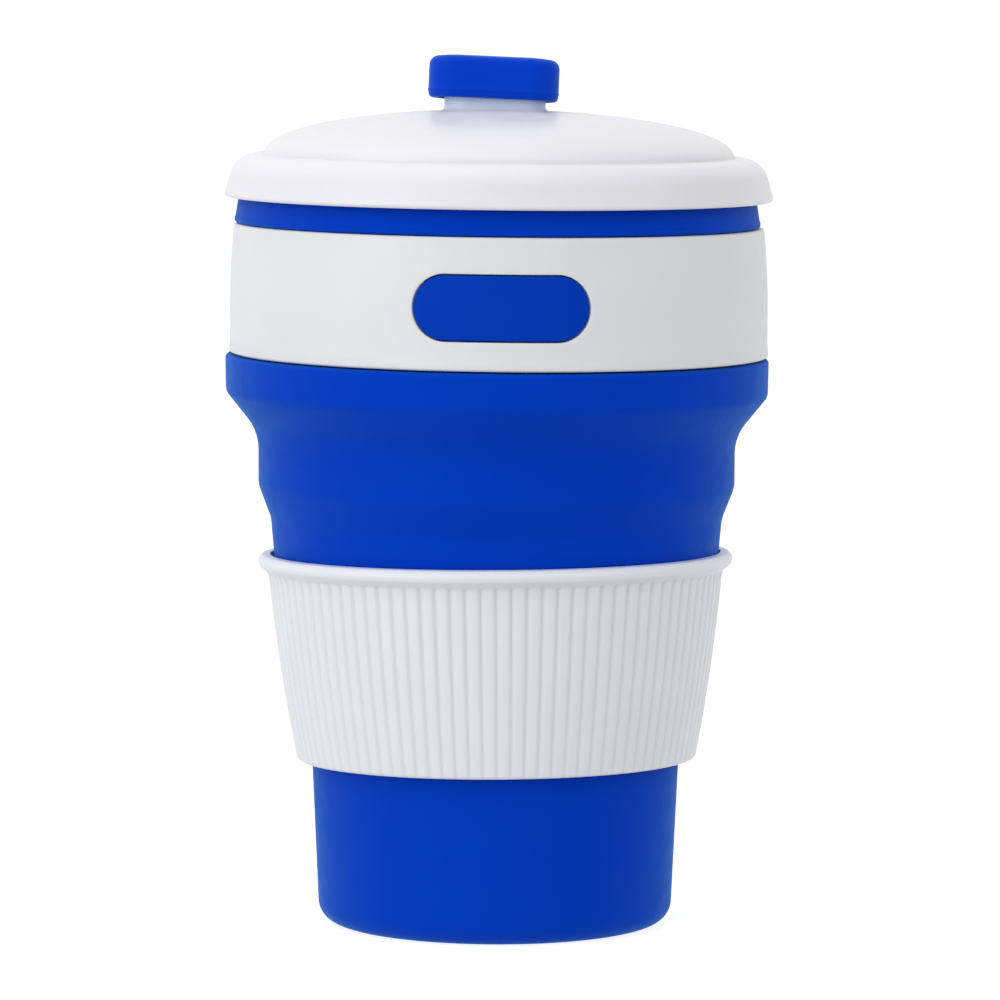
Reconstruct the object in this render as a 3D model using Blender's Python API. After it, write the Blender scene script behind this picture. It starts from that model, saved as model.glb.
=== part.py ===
"""Collapsible travel cup: a silicone cup in three tiers that fold into one another.

The frame is metres with +Z up. The origin is the centre of the cup's underside, and the
front, where the badge is, faces -Y. The sizes below are millimetres, turned into metres
by MM where a mesh is made. Every outline is a list of (radius, height) points.
"""
from math import cos, pi, radians, sin

import bmesh
import bpy
from mathutils import Vector

MM = 0.001
TURN_STEPS = 48            # facets round every turned piece
GAP = 0.4                  # clearance between pieces that nest in one another
SEAM = 0.3                 # clearance where two pieces meet end to end

# Base: the lowest tier, which stands on the table.
BASE_FOOT_RADIUS = 28.3
BASE_TOP_RADIUS = 29.5
BASE_TOP = 28.0
BASE_FILLET = 3.4
BASE_WALL = 2.0
BASE_FLOOR = 2.4

# Heat sleeve: the white cone with a rolled rim.
SLEEVE_BOTTOM = 25.8
SLEEVE_CONE_TOP = 54.8
SLEEVE_BOTTOM_RADIUS = 31.85
SLEEVE_TOP_RADIUS = 36.15
SLEEVE_WALL = 1.8
SLEEVE_ROLL_RADIUS = 38.0
SLEEVE_CREST = 59.8

# Middle tier: the silicone wall inside the heat sleeve.
MID_BOTTOM = 40.3
MID_TOP = 60.2
MID_TOP_RADIUS = 35.65
MID_FLARE_START = 54.8
MID_FLARE_END = 58.6
MID_WALL = 1.8

# Folding walls: thin silicone between the tiers.
LOWER_FOLD_WALL = 1.4
UPPER_FOLD_WALL = 1.6
UPPER_FOLD_TOP = 85.0
FOLD_TOP_RADIUS = 42.8      # outer radius where the folding wall meets the shoulder

# Top tier: shoulder, wall behind the collar, rim band and lip, all silicone.
SHOULDER_BOTTOM = 85.3
SHOULDER_RADIUS = 43.35
SHOULDER_MIDDLE = 88.3
SHOULDER_TOP = 90.9
BACK_WALL = 1.8
BAND_BOTTOM = 112.1
BAND_BOTTOM_RADIUS = 41.9
BAND_TOP_RADIUS = 41.4
LIP_TOP = 117.6
LIP_INNER_RADIUS = 38.8

# Collar: the white band round the top tier, with a window for the badge.
COLLAR_BOTTOM = 91.2
COLLAR_TOP = 111.7
COLLAR_BOTTOM_RADIUS = 43.1
COLLAR_MIDDLE = 99.7
COLLAR_MIDDLE_RADIUS = 42.85
COLLAR_TOP_RADIUS = 42.2
COLLAR_WALL = 1.4
COLLAR_EDGE = 0.4          # small bevel on the collar's edges

# Badge: a long pad with round ends that fills the collar's window.
BADGE_LENGTH = 27.2
BADGE_HEIGHT = 9.95
BADGE_CENTRE = (0.4, 100.9)

# Lid: a domed cap with a skirt outside the lip and a plug ring inside it.
LID_BOTTOM = 115.9
LID_RADIUS = 43.85
LID_SKIRT_INNER_RADIUS = 41.9
LID_CHANNEL_ROOF = 119.7
LID_SHOULDER_FILLET = 4.3
LID_SHOULDER_START = 38.65  # radius where the flat top of the rim begins to round over
PLUG_RING_RADIUS = 37.8
PLUG_RING_INNER_RADIUS = 36.4
PLUG_RING_BOTTOM = 110.6
DOME_FOOT = 122.8
DOME_RADIUS = 37.4
DOME_RISE = 7.3
LID_WALL = 1.6

# Gasket: a flat ring between the lid's channel and the cup's lip.
GASKET_BOTTOM = 117.9
GASKET_TOP = 119.4

# Spout: a neck in the middle of the dome, closed by the stopper.
SPOUT_X = -0.8
SPOUT_SIZE = (16.1, 9.2)
SPOUT_CORNER = 3.6
SPOUT_BORE = (13.4, 6.2)
SPOUT_BORE_CORNER = 2.4
SPOUT_TOP = 132.6

# Stopper: a soft cap that reaches over the spout's mouth, on a plug, seated a little askew.
CAP_SIZE = (20.7, 12.8)
CAP_CORNER = 4.7
CAP_HEIGHT = 6.7
CAP_BOTTOM = 131.6
CAP_EDGE = 1.3
CAP_RECESS = (17.3, 10.2)
CAP_RECESS_CORNER = 4.1
CAP_RECESS_DEPTH = 2.1
PLUG_SIZE = (12.0, 4.8)
PLUG_CORNER = 1.9
PLUG_DEPTH = 4.6
STOPPER_TILT = (-3.5, 2.3)  # degrees about X and Y: the front and the left stand higher

SILICONE_BLUE = (0.006, 0.037, 0.44, 1.0)
SHELL_WHITE = (0.80, 0.79, 0.82, 1.0)
COLLAR_WHITE = (0.66, 0.68, 0.70, 1.0)
SLEEVE_WHITE = (0.73, 0.75, 0.77, 1.0)


def arc(centre, radius, start, end, steps):
    """Points on a circular arc in the (radius, height) plane, angles in degrees."""
    angles = [radians(start + (end - start) * i / steps) for i in range(steps + 1)]
    return [(centre[0] + radius * cos(a), centre[1] + radius * sin(a)) for a in angles]


def ellipse_quarter(radius, rise, foot, steps):
    """Points from the top of a dome on the axis to its foot."""
    angles = [pi / 2 * i / steps for i in range(steps + 1)]
    return [(radius * sin(a), foot + rise * cos(a)) for a in angles]


def offset_inwards(points, wall):
    """The same outline at a smaller radius, in reverse order, to close a thin wall."""
    return [(r - wall, z) for r, z in reversed(points)]


def material(name, colour, roughness):
    """A plain Principled BSDF material."""
    shader = bpy.data.materials.new(name)
    shader.use_nodes = True
    bsdf = shader.node_tree.nodes["Principled BSDF"]
    bsdf.inputs["Base Color"].default_value = colour
    bsdf.inputs["Roughness"].default_value = roughness
    bsdf.inputs["Metallic"].default_value = 0.0
    return shader


def add_object(name, mesh, shader, parent):
    """Put a mesh in the scene as one sub-part on its body's empty."""
    obj = bpy.data.objects.new(name, mesh)
    bpy.context.collection.objects.link(obj)
    if shader is not None:
        mesh.materials.append(shader)
    obj.parent = parent
    return obj


def finish_mesh(name, bm):
    """Turn a bmesh into a mesh with outward faces and smooth round surfaces."""
    bmesh.ops.recalc_face_normals(bm, faces=bm.faces)
    mesh = bpy.data.meshes.new(name)
    bm.to_mesh(mesh)
    bm.free()
    mesh.shade_smooth()
    mesh.set_sharp_from_angle(angle=radians(35))
    return mesh


def turned_mesh(name, outline):
    """Turn a closed (radius, height) outline about Z; a point at radius 0 is a pole."""
    bm = bmesh.new()
    rings = []
    for radius, height in outline:
        if radius == 0:
            rings.append([bm.verts.new((0, 0, height * MM))] * TURN_STEPS)
            continue
        ring = []
        for step in range(TURN_STEPS):
            angle = 2 * pi * step / TURN_STEPS
            ring.append(bm.verts.new((radius * MM * cos(angle), radius * MM * sin(angle), height * MM)))
        rings.append(ring)
    for index, ring in enumerate(rings):
        following = rings[(index + 1) % len(rings)]
        if ring[0] is ring[1] and following[0] is following[1]:
            continue
        for step in range(TURN_STEPS):
            after = (step + 1) % TURN_STEPS
            corners = [ring[step], ring[after], following[after], following[step]]
            unique = list(dict.fromkeys(corners))
            bm.faces.new(unique)
    return finish_mesh(name, bm)


def rounded_rectangle(size, corner, steps=5):
    """Points round a rectangle with round corners, in millimetres, about the origin."""
    half_x = size[0] / 2 - corner
    half_y = size[1] / 2 - corner
    points = []
    for quarter, (sx, sy) in enumerate([(1, 1), (-1, 1), (-1, -1), (1, -1)]):
        for x, y in arc((sx * half_x, sy * half_y), corner, 90 * quarter, 90 * quarter + 90, steps):
            points.append(Vector((x, y, 0)))
    return points


def lofted_mesh(name, sections):
    """A closed solid through rounded rectangles, given as (size, corner, height)."""
    bm = bmesh.new()
    rings = []
    for size, corner, height in sections:
        outline = rounded_rectangle(size, corner)
        rings.append([bm.verts.new((p.x * MM, p.y * MM, height * MM)) for p in outline])
    for lower, upper in zip(rings, rings[1:]):
        for step in range(len(lower)):
            after = (step + 1) % len(lower)
            bm.faces.new([lower[step], lower[after], upper[after], upper[step]])
    bm.faces.new(list(reversed(rings[0])))
    bm.faces.new(rings[-1])
    return finish_mesh(name, bm)


def window_mesh(name, length, height, near, far):
    """A prism with round ends along X, standing in XZ and running along -Y."""
    bm = bmesh.new()
    centre_x, centre_z = BADGE_CENTRE
    rings = []
    for depth in (near, far):
        outline = rounded_rectangle((length, height), height / 2 - 0.001, steps=8)
        rings.append([bm.verts.new(((p.x + centre_x) * MM, -depth * MM, (p.y + centre_z) * MM))
                      for p in outline])
    for step in range(len(rings[0])):
        after = (step + 1) % len(rings[0])
        bm.faces.new([rings[0][step], rings[0][after], rings[1][after], rings[1][step]])
    bm.faces.new(rings[0])
    bm.faces.new(list(reversed(rings[1])))
    return finish_mesh(name, bm)


def boolean(target, cutter, operation):
    """Apply a cutter to a sub-part with an exact Boolean; the cutter stays a guide."""
    cutter.hide_render = True
    cutter.display_type = "WIRE"
    modifier = target.modifiers.new(cutter.name, "BOOLEAN")
    modifier.operation = operation
    modifier.solver = "EXACT"
    modifier.object = cutter


def sleeve_radius(height):
    """Outer radius of the heat sleeve's cone at a height."""
    share = (height - SLEEVE_BOTTOM) / (SLEEVE_CONE_TOP - SLEEVE_BOTTOM)
    return SLEEVE_BOTTOM_RADIUS + share * (SLEEVE_TOP_RADIUS - SLEEVE_BOTTOM_RADIUS)


def inside_sleeve(height):
    """Outer radius of the silicone where it lies inside the heat sleeve."""
    return sleeve_radius(height) - SLEEVE_WALL - GAP


def base_cup(shader, body):
    """The lowest tier: a flat floor with a rounded foot and a slightly flared wall."""
    foot = arc((BASE_FOOT_RADIUS - BASE_FILLET, BASE_FILLET), BASE_FILLET, -90, 0, 5)
    inner_fillet = 2.6
    inner_foot_radius = BASE_FOOT_RADIUS - BASE_WALL
    inner_foot = arc((inner_foot_radius - inner_fillet, BASE_FLOOR + inner_fillet), inner_fillet, 0, -90, 4)
    outline = [(0, 0)] + foot
    outline += [(BASE_TOP_RADIUS, BASE_TOP), (BASE_TOP_RADIUS - BASE_WALL, BASE_TOP)]
    outline += inner_foot + [(0, BASE_FLOOR)]
    add_object("base_cup", turned_mesh("base_cup", outline), shader, body)


def lower_fold_wall(shader, body):
    """The thin wall between the base and the middle tier, hidden in the heat sleeve."""
    top = MID_BOTTOM - SEAM
    outer = [(BASE_TOP_RADIUS + 0.1, BASE_TOP + SEAM), (inside_sleeve(top), top)]
    outline = outer + offset_inwards(outer, LOWER_FOLD_WALL)
    add_object("lower_fold_wall", turned_mesh("lower_fold_wall", outline), shader, body)


def mid_wall(shader, body):
    """The middle tier: a cone inside the heat sleeve that flares out over its rim."""
    outer = [
        (inside_sleeve(MID_BOTTOM), MID_BOTTOM),
        (inside_sleeve(MID_FLARE_START), MID_FLARE_START),
        (MID_TOP_RADIUS - 0.1, MID_FLARE_END),
        (MID_TOP_RADIUS, MID_TOP),
    ]
    outline = outer + offset_inwards(outer, MID_WALL)
    add_object("mid_wall", turned_mesh("mid_wall", outline), shader, body)


def grip_sleeve(shader, body):
    """The heat sleeve: a rigid cone whose top edge rolls outwards."""
    bead = (SLEEVE_ROLL_RADIUS - (MID_TOP_RADIUS + GAP)) / 2
    bead_centre = (MID_TOP_RADIUS + GAP + bead, SLEEVE_CREST - bead)
    outline = [(SLEEVE_BOTTOM_RADIUS - SLEEVE_WALL, SLEEVE_BOTTOM), (SLEEVE_BOTTOM_RADIUS, SLEEVE_BOTTOM)]
    outline += [(SLEEVE_TOP_RADIUS, SLEEVE_CONE_TOP), (SLEEVE_TOP_RADIUS + 0.2, SLEEVE_CONE_TOP + 1.2)]
    outline += arc(bead_centre, bead, -40, 180, 6)
    outline += [(SLEEVE_TOP_RADIUS - SLEEVE_WALL, SLEEVE_CONE_TOP)]
    add_object("grip_sleeve", turned_mesh("grip_sleeve", outline), shader, body)


def upper_fold_wall(shader, body):
    """The bellows: a ledge, a rounded step, a straight band and a slope to the shoulder."""
    outer = [
        (MID_TOP_RADIUS, MID_TOP + SEAM),
        (35.9, 64.0),
        (36.3, 65.8),
        (37.05, 67.7),
        (37.7, 69.6),
        (37.95, 71.2),
        (38.0, 75.4),
        (38.4, 77.6),
        (39.9, 81.1),
        (42.1, 84.0),
        (FOLD_TOP_RADIUS, UPPER_FOLD_TOP),
    ]
    outline = outer + offset_inwards(outer, UPPER_FOLD_WALL)
    add_object("upper_fold_wall", turned_mesh("upper_fold_wall", outline), shader, body)


def silicone_rim(shader, body):
    """The top tier's silicone: round shoulder, wall behind the collar, band and lip."""
    back_bottom = COLLAR_BOTTOM_RADIUS - COLLAR_WALL - GAP
    back_top = COLLAR_TOP_RADIUS - COLLAR_WALL - GAP
    shoulder = [
        (FOLD_TOP_RADIUS + 0.1, SHOULDER_BOTTOM),
        (SHOULDER_RADIUS - 0.1, SHOULDER_MIDDLE - 1.5),
        (SHOULDER_RADIUS, SHOULDER_MIDDLE),
        (SHOULDER_RADIUS - 0.15, SHOULDER_TOP - 0.9),
        (SHOULDER_RADIUS - 0.8, SHOULDER_TOP),
    ]
    outer = shoulder + [(back_bottom, SHOULDER_TOP), (back_bottom, COLLAR_MIDDLE)]
    outer += [(back_top, BAND_BOTTOM), (BAND_BOTTOM_RADIUS, BAND_BOTTOM)]
    outer += [(BAND_TOP_RADIUS, LID_BOTTOM), (BAND_TOP_RADIUS - 0.1, LIP_TOP - 0.4)]
    outer += [(BAND_TOP_RADIUS - 0.5, LIP_TOP)]
    inner = [
        (LIP_INNER_RADIUS, LIP_TOP),
        (back_bottom - BACK_WALL, SHOULDER_TOP + 1.0),
        (SHOULDER_RADIUS - 2.1, SHOULDER_MIDDLE),
        (FOLD_TOP_RADIUS + 0.1 - UPPER_FOLD_WALL, SHOULDER_BOTTOM),
    ]
    add_object("silicone_rim", turned_mesh("silicone_rim", outer + inner), shader, body)


def collar_outer():
    """The collar's outer outline, bottom to top, with its edges bevelled."""
    return [
        (COLLAR_BOTTOM_RADIUS - COLLAR_EDGE, COLLAR_BOTTOM),
        (COLLAR_BOTTOM_RADIUS, COLLAR_BOTTOM + COLLAR_EDGE),
        (COLLAR_MIDDLE_RADIUS, COLLAR_MIDDLE),
        (COLLAR_TOP_RADIUS, COLLAR_TOP - COLLAR_EDGE),
        (COLLAR_TOP_RADIUS - COLLAR_EDGE, COLLAR_TOP),
    ]


def collar_inner():
    """The collar's inner outline, top to bottom."""
    return [
        (COLLAR_TOP_RADIUS - COLLAR_WALL, COLLAR_TOP),
        (COLLAR_BOTTOM_RADIUS - COLLAR_WALL, COLLAR_MIDDLE),
        (COLLAR_BOTTOM_RADIUS - COLLAR_WALL, COLLAR_BOTTOM),
    ]


def collar_band(shader, body):
    """The rigid band round the top tier, cut through where the badge sits."""
    band = add_object("collar_band", turned_mesh("collar_band", collar_outer() + collar_inner()), shader, body)
    window = window_mesh("badge_window", BADGE_LENGTH + 2 * GAP, BADGE_HEIGHT + 2 * GAP, 37.0, 47.0)
    boolean(band, add_object("badge_window", window, None, body), "DIFFERENCE")


def badge_pad(shader, body):
    """The pad in the window: the stretch of collar that its outline cuts out."""
    pad = add_object("badge_pad", turned_mesh("badge_pad", collar_outer() + collar_inner()), shader, body)
    outline = window_mesh("badge_outline", BADGE_LENGTH, BADGE_HEIGHT, 37.0, 47.0)
    boolean(pad, add_object("badge_outline", outline, None, body), "INTERSECT")


def lid_outline():
    """The lid's section: dome, rim, skirt, channel and plug ring."""
    outline = ellipse_quarter(DOME_RADIUS, DOME_RISE, DOME_FOOT, 9)
    shoulder_centre = (LID_SHOULDER_START, DOME_FOOT - LID_SHOULDER_FILLET)
    outline += arc(shoulder_centre, LID_SHOULDER_FILLET, 90, 17, 4)
    outline += [
        (LID_RADIUS, LID_BOTTOM + 0.4),
        (LID_RADIUS - 0.4, LID_BOTTOM),
        (LID_SKIRT_INNER_RADIUS, LID_BOTTOM),
        (LID_SKIRT_INNER_RADIUS, LID_CHANNEL_ROOF),
        (PLUG_RING_RADIUS, LID_CHANNEL_ROOF),
        (PLUG_RING_RADIUS, PLUG_RING_BOTTOM),
        (PLUG_RING_INNER_RADIUS, PLUG_RING_BOTTOM),
        (PLUG_RING_INNER_RADIUS, DOME_FOOT - 1.5),
    ]
    ceiling = ellipse_quarter(DOME_RADIUS - LID_WALL, DOME_RISE - LID_WALL, DOME_FOOT, 7)
    return outline + list(reversed(ceiling))


def lid_shell(shader, body):
    """The press-on lid with its spout."""
    lid = add_object("lid_shell", turned_mesh("lid_shell", lid_outline()), shader, body)
    ceiling = DOME_FOOT + DOME_RISE - LID_WALL
    neck_sections = [
        (SPOUT_SIZE, SPOUT_CORNER, ceiling + 0.3),
        (SPOUT_SIZE, SPOUT_CORNER, SPOUT_TOP - 0.3),
        ((SPOUT_SIZE[0] - 0.6, SPOUT_SIZE[1] - 0.6), SPOUT_CORNER - 0.3, SPOUT_TOP),
    ]
    bore_sections = [
        (SPOUT_BORE, SPOUT_BORE_CORNER, ceiling - 8.0),
        (SPOUT_BORE, SPOUT_BORE_CORNER, SPOUT_TOP + 4.0),
    ]
    neck = add_object("spout_neck", lofted_mesh("spout_neck", neck_sections), None, body)
    bore = add_object("spout_bore", lofted_mesh("spout_bore", bore_sections), None, body)
    for guide, operation in ((neck, "UNION"), (bore, "DIFFERENCE")):
        guide.location.x = SPOUT_X * MM
        boolean(lid, guide, operation)


def lid_gasket(shader, body):
    """The flat seal in the lid's channel, above the cup's lip."""
    inner = PLUG_RING_RADIUS + GAP
    outer = LID_SKIRT_INNER_RADIUS - GAP
    outline = [(inner, GASKET_BOTTOM), (outer, GASKET_BOTTOM), (outer, GASKET_TOP), (inner, GASKET_TOP)]
    add_object("lid_gasket", turned_mesh("lid_gasket", outline), shader, body)


def smaller(size, amount):
    """A rectangle shrunk by an amount on every side."""
    return (size[0] - 2 * amount, size[1] - 2 * amount)


def stopper(shader, body):
    """The soft cap and its plug, one moulding; a recess under the cap clears the spout."""
    roof = CAP_RECESS_DEPTH
    sections = [
        (smaller(PLUG_SIZE, 0.5), PLUG_CORNER - 0.5, -PLUG_DEPTH),
        (PLUG_SIZE, PLUG_CORNER, 0.8 - PLUG_DEPTH),
        (PLUG_SIZE, PLUG_CORNER, roof),
        (CAP_RECESS, CAP_RECESS_CORNER, roof),
        (CAP_RECESS, CAP_RECESS_CORNER, 0.0),
        (smaller(CAP_SIZE, 0.3), CAP_CORNER - 0.3, 0.0),
        (CAP_SIZE, CAP_CORNER, 0.3),
        (CAP_SIZE, CAP_CORNER, CAP_HEIGHT - CAP_EDGE),
        (smaller(CAP_SIZE, CAP_EDGE * 0.3), CAP_CORNER - CAP_EDGE * 0.3, CAP_HEIGHT - CAP_EDGE * 0.3),
        (smaller(CAP_SIZE, CAP_EDGE), CAP_CORNER - CAP_EDGE, CAP_HEIGHT),
    ]
    obj = add_object("stopper", lofted_mesh("stopper", sections), shader, body)
    obj.location = (SPOUT_X * MM, 0, CAP_BOTTOM * MM)
    obj.rotation_euler = (radians(STOPPER_TILT[0]), radians(STOPPER_TILT[1]), 0)


def body_empty(name, height, parent=None):
    """An empty on the cup's axis that stands for one moving body."""
    empty = bpy.data.objects.new(name, None)
    bpy.context.collection.objects.link(empty)
    if parent is not None:
        empty.parent = parent
    empty.location.z = height * MM - (parent.matrix_world.translation.z if parent else 0)
    bpy.context.view_layer.update()
    return empty


def settle_on(obj, body):
    """Keep a sub-part where it was modelled, in the cup's own frame."""
    obj.matrix_parent_inverse = body.matrix_world.inverted()


def main():
    for obj in list(bpy.data.objects):
        bpy.data.objects.remove(obj)
    silicone = material("blue_silicone", SILICONE_BLUE, 0.45)
    shell = material("white_lid_plastic", SHELL_WHITE, 0.35)
    collar_plastic = material("white_collar_plastic", COLLAR_WHITE, 0.4)
    sleeve_plastic = material("white_sleeve_plastic", SLEEVE_WHITE, 0.45)
    seal = material("clear_seal_silicone", SHELL_WHITE, 0.5)

    base_body = body_empty("base_body", 0)
    mid_body = body_empty("mid_body", SLEEVE_BOTTOM, base_body)
    collar_body = body_empty("collar_body", SHOULDER_BOTTOM, mid_body)
    lid_body = body_empty("lid_body", LID_BOTTOM, collar_body)
    stopper_body = body_empty("stopper_body", SPOUT_TOP, lid_body)

    base_cup(silicone, base_body)
    lower_fold_wall(silicone, mid_body)
    mid_wall(silicone, mid_body)
    grip_sleeve(sleeve_plastic, mid_body)
    upper_fold_wall(silicone, collar_body)
    silicone_rim(silicone, collar_body)
    collar_band(collar_plastic, collar_body)
    badge_pad(silicone, collar_body)
    lid_shell(shell, lid_body)
    lid_gasket(seal, lid_body)
    stopper(silicone, stopper_body)
    for obj in bpy.data.objects:
        if obj.type == "MESH":
            settle_on(obj, obj.parent)


main()
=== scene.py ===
"""Looks of the collapsible travel cup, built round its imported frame.

Every turned piece is an outline of (radius, height, fillet) corners in millimetres, and
MM turns a finished mesh into metres. Heights and radii that the frame holds are read
from its boxes; the other sizes are named next to the piece that uses them. The front of
the cup, where the badge is, faces -Y.
"""
from math import ceil, cos, degrees, exp, pi, radians, sin, sqrt, tan

import bmesh
import bpy
from mathutils import Matrix, Vector


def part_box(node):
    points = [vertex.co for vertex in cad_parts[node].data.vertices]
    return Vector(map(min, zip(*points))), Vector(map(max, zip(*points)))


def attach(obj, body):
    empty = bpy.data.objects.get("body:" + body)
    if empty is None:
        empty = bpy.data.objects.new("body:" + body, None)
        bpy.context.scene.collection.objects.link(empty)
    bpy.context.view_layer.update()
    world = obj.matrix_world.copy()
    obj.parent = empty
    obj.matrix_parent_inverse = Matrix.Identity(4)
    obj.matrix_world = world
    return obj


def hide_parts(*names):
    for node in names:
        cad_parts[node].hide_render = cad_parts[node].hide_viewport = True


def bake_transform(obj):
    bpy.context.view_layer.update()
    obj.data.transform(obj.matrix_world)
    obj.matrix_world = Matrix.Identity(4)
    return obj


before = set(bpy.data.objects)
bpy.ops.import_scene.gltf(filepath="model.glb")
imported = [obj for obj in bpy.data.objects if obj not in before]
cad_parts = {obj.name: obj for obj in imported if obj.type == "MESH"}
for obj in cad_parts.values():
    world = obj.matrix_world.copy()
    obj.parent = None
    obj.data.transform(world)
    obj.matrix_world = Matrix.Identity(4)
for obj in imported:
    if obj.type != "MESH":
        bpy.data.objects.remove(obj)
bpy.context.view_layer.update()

MM = 0.001
STEPS = 240                    # columns round every turned piece
ARC_STEP = 8.0                 # degrees of a fillet's arc between two of its points
SHARP_ANGLE = 32.0             # degrees; a sharper edge isn't shaded smooth


def extent(node):
    """Bottom, top and outer radius of a CAD node, in millimetres."""
    low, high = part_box(node)
    return low.z / MM, high.z / MM, high.x / MM


BASE_BOTTOM, BASE_TOP, BASE_RADIUS = extent("base_cup")
SLEEVE_BOTTOM, SLEEVE_TOP, SLEEVE_RADIUS = extent("grip_sleeve")
MID_BOTTOM, MID_TOP, MID_RADIUS = extent("mid_wall")
FOLD_BOTTOM, FOLD_TOP, FOLD_RADIUS = extent("upper_fold_wall")
RIM_BOTTOM, LIP_TOP, SHOULDER_RADIUS = extent("silicone_rim")
COLLAR_BOTTOM, COLLAR_TOP, COLLAR_RADIUS = extent("collar_band")
LID_FLOOR, SPOUT_TOP, LID_RADIUS = extent("lid_shell")
GASKET_BOTTOM, GASKET_TOP, GASKET_RADIUS = extent("lid_gasket")
BADGE_LOW, BADGE_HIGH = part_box("badge_pad")
LID_SKIRT_BOTTOM = GASKET_BOTTOM - 2.0     # the lid's skirt hangs below its seal


# ---------------------------------------------------------------- outlines and meshes

def angles_round(count):
    """Angles of that many columns, evenly spaced round the cup."""
    return [2 * pi * step / count for step in range(count)]


ANGLES = angles_round(STEPS)


def smooth_share(share):
    """A share kept between 0 and 1, and eased in and out at both ends."""
    share = min(1.0, max(0.0, share))
    return share * share * (3 - 2 * share)


def rounded(corners, closed=True):
    """Points along corners of (radius, height, fillet), each fillet an arc."""
    points = []
    for index, (radius, height, fillet) in enumerate(corners):
        here = Vector((radius, height))
        is_end = not closed and index in (0, len(corners) - 1)
        if fillet == 0 or is_end:
            points.append(here)
            continue
        before = (Vector(corners[index - 1][:2]) - here).normalized()
        after = (Vector(corners[(index + 1) % len(corners)][:2]) - here).normalized()
        inside = before.angle(after)
        bend = pi - inside
        centre = here + (before + after).normalized() * fillet / sin(inside / 2)
        arm = here + before * fillet / tan(inside / 2) - centre
        side = 1 if before.cross(after) < 0 else -1
        count = max(2, ceil(degrees(bend) / ARC_STEP))
        for step in range(count + 1):
            points.append(centre + Matrix.Rotation(side * bend * step / count, 2) @ arm)
    return points


def dense(points, longest, closed=True):
    """The same outline with no stretch longer than that."""
    following = points[1:] + (points[:1] if closed else [])
    result = []
    for here, after in zip(points, following):
        count = max(1, ceil((after - here).length / longest))
        result += [here.lerp(after, share / count) for share in range(count)]
    if not closed:
        result.append(points[-1])
    return result


def circle(radius, height):
    """One ring of a turned piece; a ring at radius 0 is a single point."""
    if radius < 1e-6:
        return [Vector((0, 0, height))]
    return [Vector((radius * cos(a), radius * sin(a), height)) for a in ANGLES]


def box_radius(angle, half_x, half_y, corner):
    """Distance from the centre of a rounded rectangle to its edge, at an angle."""
    across, up = abs(cos(angle)), abs(sin(angle))
    edge = min(half_x / max(across, 1e-9), half_y / max(up, 1e-9))
    flat_x, flat_y = half_x - corner, half_y - corner
    if edge * across <= flat_x or edge * up <= flat_y:
        return edge
    along = across * flat_x + up * flat_y
    return along + sqrt(along ** 2 - flat_x ** 2 - flat_y ** 2 + corner ** 2)


def pill_radius(angle, half_x, half_y):
    """The same distance for a rectangle whose short ends are half circles."""
    return box_radius(angle, half_x, half_y, half_y - 0.001)


def quads_between(mesh, lower, upper):
    """Faces between two rings of vertices; a ring may be a single vertex."""
    count = max(len(lower), len(upper))
    for index in range(count):
        after = (index + 1) % count
        corners = []
        for ring, place in ((lower, index), (lower, after), (upper, after), (upper, index)):
            vertex = ring[place % len(ring)]
            if vertex not in corners:
                corners.append(vertex)
        mesh.faces.new(corners)


def finish_piece(name, mesh):
    """A smooth-shaded object from a bmesh whose sizes are in millimetres."""
    bmesh.ops.scale(mesh, vec=(MM, MM, MM), verts=mesh.verts)
    bmesh.ops.recalc_face_normals(mesh, faces=mesh.faces)
    data = bpy.data.meshes.new(name)
    mesh.to_mesh(data)
    mesh.free()
    data.shade_smooth()
    data.set_sharp_from_angle(angle=radians(SHARP_ANGLE))
    obj = bpy.data.objects.new(name, data)
    bpy.context.scene.collection.objects.link(obj)
    return obj


def loft(name, rings, closed=True):
    """A piece through rings of points, each ring joined to the next."""
    mesh = bmesh.new()
    made = [[mesh.verts.new(point) for point in ring] for ring in rings]
    pairs = list(zip(made, made[1:]))
    if closed:
        pairs.append((made[-1], made[0]))
    for lower, upper in pairs:
        quads_between(mesh, lower, upper)
    return finish_piece(name, mesh)


def turned(name, outline, closed=True):
    """A piece turned about the cup's axis."""
    return loft(name, [circle(point.x, point.y) for point in outline], closed)


# ---------------------------------------------------------------- materials

NOISE_LOW = 0.3                # most of a noise's values lie between these two
NOISE_HIGH = 0.7
MOTTLE_RANGE = (0.35, 0.75)    # the noise values over which mottling and flow marks fade in
LINT_RANGE = (0.74, 0.80)      # only the peaks of a fine noise show, as lint
MOTTLE_SHARE = 0.12
LINT_SHARE = 0.35
FLOW_SHARE = 0.35
# share of the painted groove shade mixed in at a groove's bottom
GROOVE_SHADE_SHARE = 0.35

BODY_COLOUR = (0.0002, 0.0343, 0.445)
BODY_PALE = (0.001, 0.055, 0.486)
BADGE_COLOUR = (0.0004, 0.032, 0.40)
BADGE_PALE = (0.002, 0.050, 0.455)
STOPPER_COLOUR = (0.0006, 0.033, 0.475)
STOPPER_PALE = (0.003, 0.060, 0.53)
SEAL_COLOUR = (0.62, 0.64, 0.68)
SEAL_PALE = (0.72, 0.74, 0.78)
LID_COLOUR = (0.702, 0.694, 0.738)
LID_SHADE = (0.67, 0.665, 0.713)
SPOUT_BLUISH = (0.575, 0.665, 0.875)
COLLAR_COLOUR = (0.662, 0.673, 0.696)
COLLAR_SHADE = (0.628, 0.64, 0.663)
SLEEVE_COLOUR = (0.695, 0.721, 0.762)
SLEEVE_SHADE = (0.665, 0.69, 0.731)
# colour of the painted shade at the bottoms of the sleeve's grooves
SLEEVE_GROOVE_SHADE_COLOUR = (0.552, 0.583, 0.634)
SILICONE_HIGHLIGHT = (0.2, 0.8, 1.0)
SILICONE_SHEEN = (0.09, 0.92, 1.0)
GROOVE_SHADE = "groove_shade"  # painted shade: 0 on the sleeve's ribs and 1 at the bottom of a groove


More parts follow.
